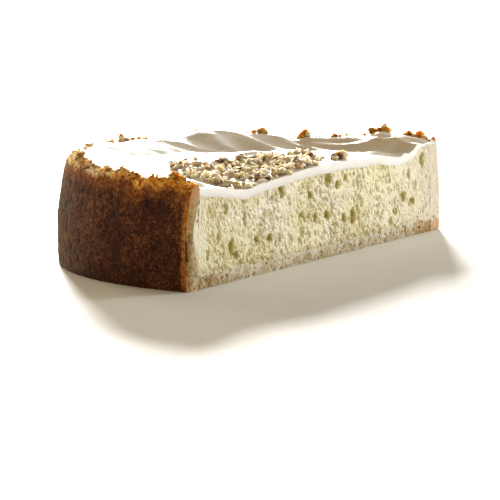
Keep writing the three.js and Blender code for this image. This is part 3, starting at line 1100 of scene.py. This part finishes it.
class MakeFilling(bpy.types.Operator):
    """Makes the cheese filling with its porous cut face."""

    bl_idname = "cheesecake.make_filling"
    bl_label = "Cheese filling"

    def execute(self, context):
        settings = context.scene.cheesecake.filling
        turn = cut_angles(settings.columns, PAN_RADIUS - WALL_THICKNESS)
        angle = np.degrees(turn)
        foot_reach = inner_radius(angle, 0) + FILLING_OVERLAP
        x, back = foot_reach * np.cos(turn), np.maximum(foot_reach * np.sin(turn), CUT_OFFSET)
        top = cream_top(x, CUT_OFFSET) - cream_thickness(x, CUT_OFFSET) + FILLING_OVERLAP
        bottom = base_top(x) - FILLING_OVERLAP
        height = bottom + (top - bottom) * np.linspace(0, 1, settings.rows)[:, None]
        lean = (inner_radius(angle, height) + FILLING_OVERLAP) / foot_reach
        front_x = x * lean
        reach = np.where(x > 0, front_x[:, :1], -front_x[:, -1:])
        to_base, to_wall = height - bottom, reach - np.abs(front_x)
        to_crust = np.minimum(to_base, np.where(front_x > 0, 0.3, 1) * to_wall)
        to_edge = np.minimum(to_crust, (height[-1:] - height) * 1.5)
        border = smoothstep(-0.4, 1.4, to_edge)
        texture, holes = self.hole_depths(front_x, height, settings.small_holes)
        depth = np.minimum((texture + holes) * border, 0.85 * (back - CUT_OFFSET))
        front = points_at(front_x, CUT_OFFSET - FILLING_PROUD + depth, height)

        deep = np.linspace(0, 1, FILLING_STEPS_BACK)[1:, None]
        edge = front[-1:, :, 1]
        over_x = front_x[-1:]
        over_y = edge + (np.maximum(back * lean[-1:], edge) - edge) * deep
        over_z = cream_top(over_x, over_y) - cream_thickness(over_x, over_y)
        under_y = CUT_OFFSET + (back - CUT_OFFSET) * deep[::-1]
        rings = np.concatenate([front, points_at(over_x, over_y, over_z), points_at(x, under_y, bottom)])

        # Painted shade: olive by the depth of the holes and of the torn curd.
        hollow_shade = np.clip(0.5 * (texture - 0.55) + 0.9 * holes, 0, 1) * border
        edge_tint = np.maximum(
            0.9 * smoothstep(4.5, 0.2, to_base + 1.5 * texture - 0.8),
            0.8 * smoothstep(2.2, 0.2, to_wall) * (front_x < 0),
        )
        far_end = smoothstep(20, 1, to_wall) * (front_x > 0) + 0.5 * smoothstep(58, 92, front_x)
        faded = np.maximum(far_end, 0.75 * self.smeared(front_x, height))
        patchy = 1 + 0.9 * (soft_noise(front, 6.0, 151) - 0.5)
        pale = np.clip(faded * patchy, 0, 1) * (1 - hollow_shade)
        behind = np.zeros((len(rings) - settings.rows) * settings.columns)
        shades = {"hollow_shade": hollow_shade, "edge": edge_tint, "pale": pale}
        shades = {key: np.concatenate([values.reshape(-1), behind]) for key, values in shades.items()}
        piece = make_closed_piece("porous_filling", rings, [filling_material()], shades)
        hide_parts("cheese_filling")
        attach(piece, "root")
        return {"FINISHED"}

    def smeared(self, x, z):
        """How much the knife smeared the curd: streaks of noise in a bell-shaped patch above the middle."""
        streaks = soft_noise(points_at(x / 4, 0, z), 2.2, 163)
        return bell(x - 10, 17) * bell(z - 27, 4.5) * smoothstep(0.25, 0.6, streaks)

    def hole_depths(self, x, z, small_count):
        """Depths of the torn curd and of the holes behind the knife's plane.

        The curd's depth is what its grains, tears and waves add up to above a level, so that the rest
        stays flat. A hole's depth is its full depth times the square root of one less the squared
        distance from its middle over its half sizes, with an outline made uneven by noise.
        """
        flat, slanted = points_at(x, 0, z), points_at(x + 0.3 * z, 0, z / 1.8)
        torn = 0.45 + 0.55 * smoothstep(0.3, 0.65, soft_noise(flat, 11.0, 105))
        curd = 1.1 * (1 - grain_noise(slanted, 1.15, 97)) + 0.4 * (1 - grain_noise(flat, 2.7, 99))
        tears = 1.1 * smoothstep(0.5, 0.85, soft_noise(slanted, 0.8, 103))
        waves = 0.7 * soft_noise(flat, 3.4, 89) + 0.5 * soft_noise(flat, 9.0, 83)
        texture = torn * np.maximum(0, curd + tears + waves - 0.95) + 0.3 * soft_noise(flat, 1.3, 87)
        calm = 1 - 0.7 * smoothstep(106, 114, -x) - 0.55 * smoothstep(50, 105, x)
        texture = texture * (1 - 0.6 * self.smeared(x, z)) * calm
        wobble = 1.5 * (soft_noise(slanted, 1.1, 101) - 0.5)
        random = np.random.default_rng(53)
        width = 0.3 + 0.85 * random.random(small_count) ** 3
        stretch = random.uniform(0.9, 2.4, small_count)
        small_x = random.uniform(-114, 112, small_count)
        small_z = random.uniform(7, 41, small_count)
        small = np.stack([small_x, small_z, width, width * stretch], axis=-1)
        holes = np.zeros(x.shape)
        for at_x, at_z, half_width, half_height in np.concatenate([np.array(LARGE_HOLES, float), small]):
            inside = np.abs(x[0] - at_x) < 1.5 * half_width
            across = (x[:, inside] - at_x) / half_width
            up = (z[:, inside] - at_z) / half_height
            left = 1 - across**2 - up**2 + wobble[:, inside]
            steepness = 0.5 if at_x > 60 else 0.75
            hole = steepness * half_width * np.sqrt(np.clip(left, 0, 1))
            holes[:, inside] = np.maximum(holes[:, inside], hole)
        return texture, holes


def cream_detail(x, y, ridge_height):
    """Ridges that the spoon left, ripples and spurs.

    The ridges are a sharpened wave along a spiral, stronger in some places. On them lie slow noise, a
    broad swell near the far rim, small ripples in one place, and a bell for each spur of the far slope.
    """
    radius, turn = np.hypot(x, y), np.arctan2(y, x)
    flat = points_at(x, y, 0)
    strength = smoothstep(0.35, 0.75, soft_noise(flat, 34.0, 107))
    drift = 5 * soft_noise(flat, 25.0, 109)
    wave = 0.5 + 0.5 * np.sin((radius + drift) / 2.6 - 3.2 * turn)
    zone = smoothstep(38, 60, radius) * (1 - smoothstep(108, 118, radius))
    zone = zone * (1 - 0.8 * smoothstep(58, 72, np.degrees(turn)))
    fine = 0.35 * (soft_noise(flat, 9.0, 113) - 0.5) + 2.2 * bell(x + 62, 30) * bell(y - 70, 16)
    along = 0.88 * x + 0.47 * y + 1.4 * drift
    fine = fine + 0.14 * np.sin(along / 1.6) * bell(x - 25, 30) * bell(y - 98, 15)
    for angle, drift_per_mm, width, rise in CREAM_SPURS:
        across = np.degrees(turn) - angle - drift_per_mm * (radius - 103)
        fine = fine + rise * bell(radius - 101, 9) * bell(across, width)
    return ridge_height * zone * strength * wave**2.5 + fine


def cream_reach(angle):
    """Radius where the cream ends: just inside the crust, or near its outer edge where it runs over."""
    edge = layer_edge(angle)
    over = outer_radius(rim_height(angle)) - 2.2 - CREAM_INTO_CRUST - edge
    return edge + CREAM_INTO_CRUST + over * cream_cover(angle)


def cream_surface(x, y):
    """Height of the finished cream: the spoon's ridges, a dish before the far rim, a rise over it."""
    ridge_height = bpy.context.scene.cheesecake.cream.ridge_height
    radius, angle = np.hypot(x, y), np.degrees(np.arctan2(y, x))
    edge, cover, end = layer_edge(angle), cream_cover(angle), cream_reach(angle)
    raised = 0.8 * cover * smoothstep(edge - 9, edge, radius)
    dished = 1.1 * smoothstep(3, 8, angle) * (1 - smoothstep(60, 80, angle)) * bell(radius - edge + 17, 7)
    rounded = dished + 0.9 * cover * smoothstep(end - 2, end, radius) ** 2
    return cream_top(x, y) + cream_detail(x, y, ridge_height) + raised - rounded


def cream_bottom(x, y):
    """Underside of the cream: the lower of its plain and its finished surface, less its thickness."""
    return np.minimum(cream_top(x, y), cream_surface(x, y)) - cream_thickness(x, y)


class MakeCream(bpy.types.Operator):
    """Makes the sour-cream topping."""

    bl_idname = "cheesecake.make_cream"
    bl_label = "Sour cream"

    def execute(self, context):
        settings = context.scene.cheesecake.cream
        turn = cut_angles(settings.columns, PAN_RADIUS - WALL_THICKNESS)
        for _ in range(REACH_STEPS):
            reach = cream_reach(np.degrees(turn))
            turn = self.even_turn(settings.columns, reach)
        x, back = reach * np.cos(turn), reach * np.sin(turn)
        y = CUT_OFFSET + (back - CUT_OFFSET) * np.linspace(0, 1, settings.rows)[:, None]
        top = cream_surface(x, y)
        ragged = 0.5 * (soft_noise(points_at(x, 0, 0), 5.0, 127) - 0.5)
        front_low = cream_bottom(x, y[:1]) + ragged
        front_rise = np.linspace(0, 1, CREAM_FRONT_ROWS)[:-1, None]
        front_z = front_low + (top[:1] - front_low) * front_rise
        bulge = (0.2 * np.sin(math.pi * front_rise) - 0.12) * smoothstep(0, 4, (back - CUT_OFFSET))
        front = points_at(x, CUT_OFFSET - bulge, front_z)
        under_y = y[::-CREAM_UNDER_STEP]
        under = points_at(x, under_y, cream_bottom(x, under_y))
        rings = np.concatenate([front, points_at(x, y, top), under])
        points = rings.reshape(-1, 3)
        angle = np.degrees(np.arctan2(points[:, 1], points[:, 0]))
        inside_rim = layer_edge(angle) - np.hypot(points[:, 0], points[:, 1])
        # Painted shade: tan on the far inner slope near the rim, towards the far end and away from the cut.
        painted_slope_shade = 0.45 * smoothstep(70, 15, angle) * smoothstep(24, 10, inside_rim)
        painted_slope_shade = painted_slope_shade * smoothstep(0.5, 4, points[:, 1] - CUT_OFFSET) * smoothstep(0, 3, inside_rim)
        piece = make_closed_piece("sour_cream", rings, [cream_material()], {"painted_slope_shade": painted_slope_shade})
        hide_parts("sour_cream_topping")
        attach(piece, "root")
        return {"FINISHED"}

    def even_turn(self, columns, reach):
        """Angles whose points at each column's own radius start and end in the cut's plane."""
        start = np.arcsin(CUT_OFFSET / reach[:, :1])
        end = math.pi - np.arcsin(CUT_OFFSET / reach[:, -1:])
        return start + np.linspace(0, 1, columns)[None, :] * (end - start)


def inside_outline(x, y, outline):
    """Whether a point lies inside a closed outline: a line from it crosses an odd number of sides."""
    crossings = 0
    for (x0, y0), (x1, y1) in zip(outline, outline[1:] + outline[:1]):
        if (y0 > y) != (y1 > y) and x < x0 + (y - y0) * (x1 - x0) / (y1 - y0):
            crossings += 1
    return crossings % 2 == 1


class MakeNuts(bpy.types.Operator):
    """Makes the heap of chopped nuts."""

    bl_idname = "cheesecake.make_nuts"
    bl_label = "Chopped nuts"

    def execute(self, context):
        random = np.random.default_rng(59)
        places, sizes = self.lay_nuts(random, context.scene.cheesecake.nuts)
        forms, triangles = shard_forms(random, len(sizes))
        lengths = random.uniform((0.85, 0.6, 0.42), (1.1, 0.9, 0.7), (len(sizes), 3))
        forms = self.laid_flat(random, forms * (lengths * sizes[:, None])[:, None, :])
        places[:, 2] -= forms[..., 2].min(axis=1) + 0.25 * sizes
        tone = random.beta(1.6, 1.5, len(sizes))
        skin_way = random.normal(size=(len(sizes), 3))
        skin_way /= np.linalg.norm(skin_way, axis=-1, keepdims=True)
        unit = forms / np.linalg.norm(forms, axis=-1, keepdims=True)
        facing = np.einsum("lvk,lk->lv", unit, skin_way)
        skinned = ((random.random(len(sizes)) < 0.3) | (sizes > 2.9))[:, None]
        # Painted shade: the skins' dark colour on each piece's underside, beside the real skins on some
        # faces.
        underside_shade = 0.9 * smoothstep(0, -0.7, unit[..., 2])
        skin_and_under_shade = np.maximum(np.where(skinned & (facing > 0.45), 1.0, 0.0), underside_shade)
        shades = {"tone": tone, "skin_and_under_shade": skin_and_under_shade}
        piece = make_lumps("chopped_nuts", forms, triangles, places, nut_material(), shades, smooth=False)
        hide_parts("sour_cream_topping")
        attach(piece, "root")
        return {"FINISHED"}

    def lay_nuts(self, random, settings):
        """Drops the pieces one by one, the largest first, each onto what lies where it falls."""
        share = np.linspace(0, 1, settings.pieces)
        sizes = settings.shortest + (settings.longest - settings.shortest) * (1 - share) ** 1.7
        sizes = sizes / 2
        across, deep = np.arange(-100, 70, 1.0), np.arange(CUT_OFFSET, CUT_OFFSET + 80, 1.0)
        grid_x, grid_y = np.meshgrid(across, deep)
        ground = cream_surface(grid_x, grid_y)
        places = np.zeros((settings.pieces, 3))
        for index, size in enumerate(sizes):
            x, y = self.random_place(random, size)
            near = (grid_x - x) ** 2 + (grid_y - y) ** 2 < max(size * 0.8, 0.8) ** 2
            level = ground[near].mean()
            places[index] = (x, y, level)
            ground[near] = np.maximum(ground[near], level + 0.55 * size)
        lone_places, lone_sizes = self.single_nuts()
        return np.concatenate([places, lone_places]), np.concatenate([sizes, lone_sizes])

    def single_nuts(self):
        """The single nuts on the rim and on the bare cream."""
        rim, lone = np.array(RIM_NUTS, float), np.array(LONE_NUTS, float)
        radius, turn = layer_edge(rim[:, 0]) + 3, np.radians(rim[:, 0])
        x, y = radius * np.cos(turn), radius * np.sin(turn)
        on_rim = points_at(x, y, cream_surface(x, y) + 0.3)
        x, y = lone[:, 0], lone[:, 1] + CUT_OFFSET
        on_cream = points_at(x, y, cream_surface(x, y))
        return np.concatenate([on_rim, on_cream]), np.concatenate([rim[:, 1], lone[:, 2]])

    def random_place(self, random, size):
        """A place inside the heap's outline, with a ragged edge, and fewer pieces towards the near end."""
        for _ in range(MOST_TRIES):
            x, y = random.uniform(-92, 60), random.uniform(0, 70)
            edge_x, edge_y = random.normal(0, 1.2, 2)
            at_corner = x < -35 and (y > 30 or (x < -58 and y < 14))
            left_out = 0.5 if at_corner else 0.3 if x < -20 else 0
            if inside_outline(x + edge_x, y + edge_y, NUT_OUTLINE) and random.random() >= left_out:
                return x, max(y, 0.35 * size) + CUT_OFFSET
        raise RuntimeError("No place was found for a chopped nut inside the heap's outline")

    def laid_flat(self, random, forms):
        """Each piece turned about the vertical, and tipped a little from lying flat."""
        turn = random.uniform(0, 2 * math.pi, len(forms))
        tip = np.clip(random.normal(0, 0.5, len(forms)), -1, 1)
        cos_tip, sin_tip = np.cos(tip)[:, None], np.sin(tip)[:, None]
        x, y, z = forms[..., 0], forms[..., 1], forms[..., 2]
        x, z = x * cos_tip - z * sin_tip, x * sin_tip + z * cos_tip
        cos_turn, sin_turn = np.cos(turn)[:, None], np.sin(turn)[:, None]
        return points_at(x * cos_turn - y * sin_turn, x * sin_turn + y * cos_turn, z)


class MakeStage(bpy.types.Operator):
    """Makes the floor, the lights and the camera."""

    bl_idname = "cheesecake.make_stage"
    bl_label = "Stage"

    def execute(self, context):
        settings = context.scene.cheesecake.stage
        self.make_camera(context, settings)
        self.make_floor(context)
        self.make_lights(context, settings)
        return {"FINISHED"}

    def make_camera(self, context, settings):
        """The camera looks along its yaw and pitch, and is rolled about that line."""
        yaw, pitch, roll = settings.camera_yaw, settings.camera_pitch, settings.camera_roll
        level = math.cos(pitch)
        look = Vector((math.cos(yaw) * level, math.sin(yaw) * level, -math.sin(pitch)))
        level_right = Vector((math.sin(yaw), -math.cos(yaw), 0))
        level_up = level_right.cross(look)
        right = math.cos(roll) * level_right + math.sin(roll) * level_up
        up = -math.sin(roll) * level_right + math.cos(roll) * level_up
        data = bpy.data.cameras.new("camera")
        data.lens = settings.lens
        data.sensor_width = FILM_WIDTH
        data.clip_end = 100
        camera = bpy.data.objects.new("camera", data)
        turn = Matrix((right, up, -look)).transposed().to_4x4()
        camera.matrix_world = Matrix.Translation(settings.camera_place) @ turn
        context.scene.collection.objects.link(camera)
        context.scene.camera = camera

    def make_floor(self, context):
        """A flat white square, far larger than the view."""
        reach = FLOOR_REACH
        corners = [(-reach, -reach, 0), (reach, -reach, 0), (reach, reach, 0), (-reach, reach, 0)]
        mesh = bpy.data.meshes.new("floor")
        mesh.from_pydata(corners, [], [(0, 1, 2, 3)])
        mesh.materials.append(floor_material())
        floor = bpy.data.objects.new("floor", mesh)
        context.scene.collection.objects.link(floor)

    def make_lights(self, context, settings):
        """A soft low sun behind the cake, a panel that faces the cut, one for the left edge, and a fill."""
        rise, turn = math.radians(SUN_ELEVATION), settings.camera_yaw + math.radians(SUN_BESIDE_VIEW)
        sun_way = (math.cos(turn) * math.cos(rise), math.sin(turn) * math.cos(rise), math.sin(rise))
        sun = self.add_light(context, "back_light", "SUN", sun_way, settings.back_light)
        sun.angle = math.radians(SUN_SPREAD)
        sun.color = (1.0, 0.985, 0.96)
        panel = self.add_light(context, "side_panel", "AREA", SIDE_PANEL_WAY, settings.side_light)
        panel.shape = "RECTANGLE"
        panel.size, panel.size_y = 0.8, 0.6
        panel.color = (0.93, 0.97, 1.0)
        left = self.add_light(context, "left_panel", "AREA", LEFT_PANEL_WAY, settings.left_light)
        left.size = 0.8
        left.color = (1.0, 0.85, 0.55)
        world = bpy.data.worlds.new("soft_fill")
        world.use_nodes = True
        fill = world.node_tree.nodes["Background"]
        fill.inputs["Color"].default_value = (*settings.fill_colour, 1)
        fill.inputs["Strength"].default_value = 1.0
        context.scene.world = world
        context.scene.view_settings.view_transform = "Standard"

    def add_light(self, context, name, kind, way, energy):
        """A light that stands along a direction from the cake and shines back at it."""
        data = bpy.data.lights.new(name, kind)
        data.energy = energy
        towards = Vector(way).normalized()
        light = bpy.data.objects.new(name, data)
        turn = towards.to_track_quat("Z", "Y").to_matrix().to_4x4()
        light.matrix_world = Matrix.Translation(towards * LIGHT_DISTANCE) @ turn
        light.visible_camera = False
        context.scene.collection.objects.link(light)
        return data


class CheesecakePanel(bpy.types.Panel):
    """Lists the makers of the half cake's pieces, each with its settings."""

    bl_idname = "VIEW3D_PT_cheesecake"
    bl_label = "Cheesecake"
    bl_space_type = "VIEW_3D"
    bl_region_type = "UI"
    bl_category = "Cheesecake"

    def draw(self, context):
        settings = context.scene.cheesecake
        for maker, group in (
            (MakeStage, settings.stage),
            (MakeCrust, settings.crust),
            (MakeCrumbs, None),
            (MakeFilling, settings.filling),
            (MakeCream, settings.cream),
            (MakeNuts, settings.nuts),
        ):
            self.layout.operator(maker.bl_idname)
            if group:
                for key in group.__annotations__:
                    self.layout.prop(group, key)


CLASSES = (
    CrustSettings,
    FillingSettings,
    CreamSettings,
    NutSettings,
    StageSettings,
    CheesecakeSettings,
    MakeStage,
    MakeCrust,
    MakeCrumbs,
    MakeFilling,
    MakeCream,
    MakeNuts,
    CheesecakePanel,
)


def register():
    """Registers the classes and gives the scene its settings."""
    for kind in CLASSES:
        bpy.utils.register_class(kind)
    bpy.types.Scene.cheesecake = PointerProperty(type=CheesecakeSettings)


def unregister():
    """Takes the settings and the classes away again."""
    del bpy.types.Scene.cheesecake
    for kind in reversed(CLASSES):
        bpy.utils.unregister_class(kind)


def main():
    register()
    bpy.ops.cheesecake.make_stage()
    bpy.ops.cheesecake.make_crust()
    bpy.ops.cheesecake.make_crumbs()
    bpy.ops.cheesecake.make_filling()
    bpy.ops.cheesecake.make_cream()
    bpy.ops.cheesecake.make_nuts()
    bpy.context.view_layer.update()


if __name__ == "__main__":
    main()
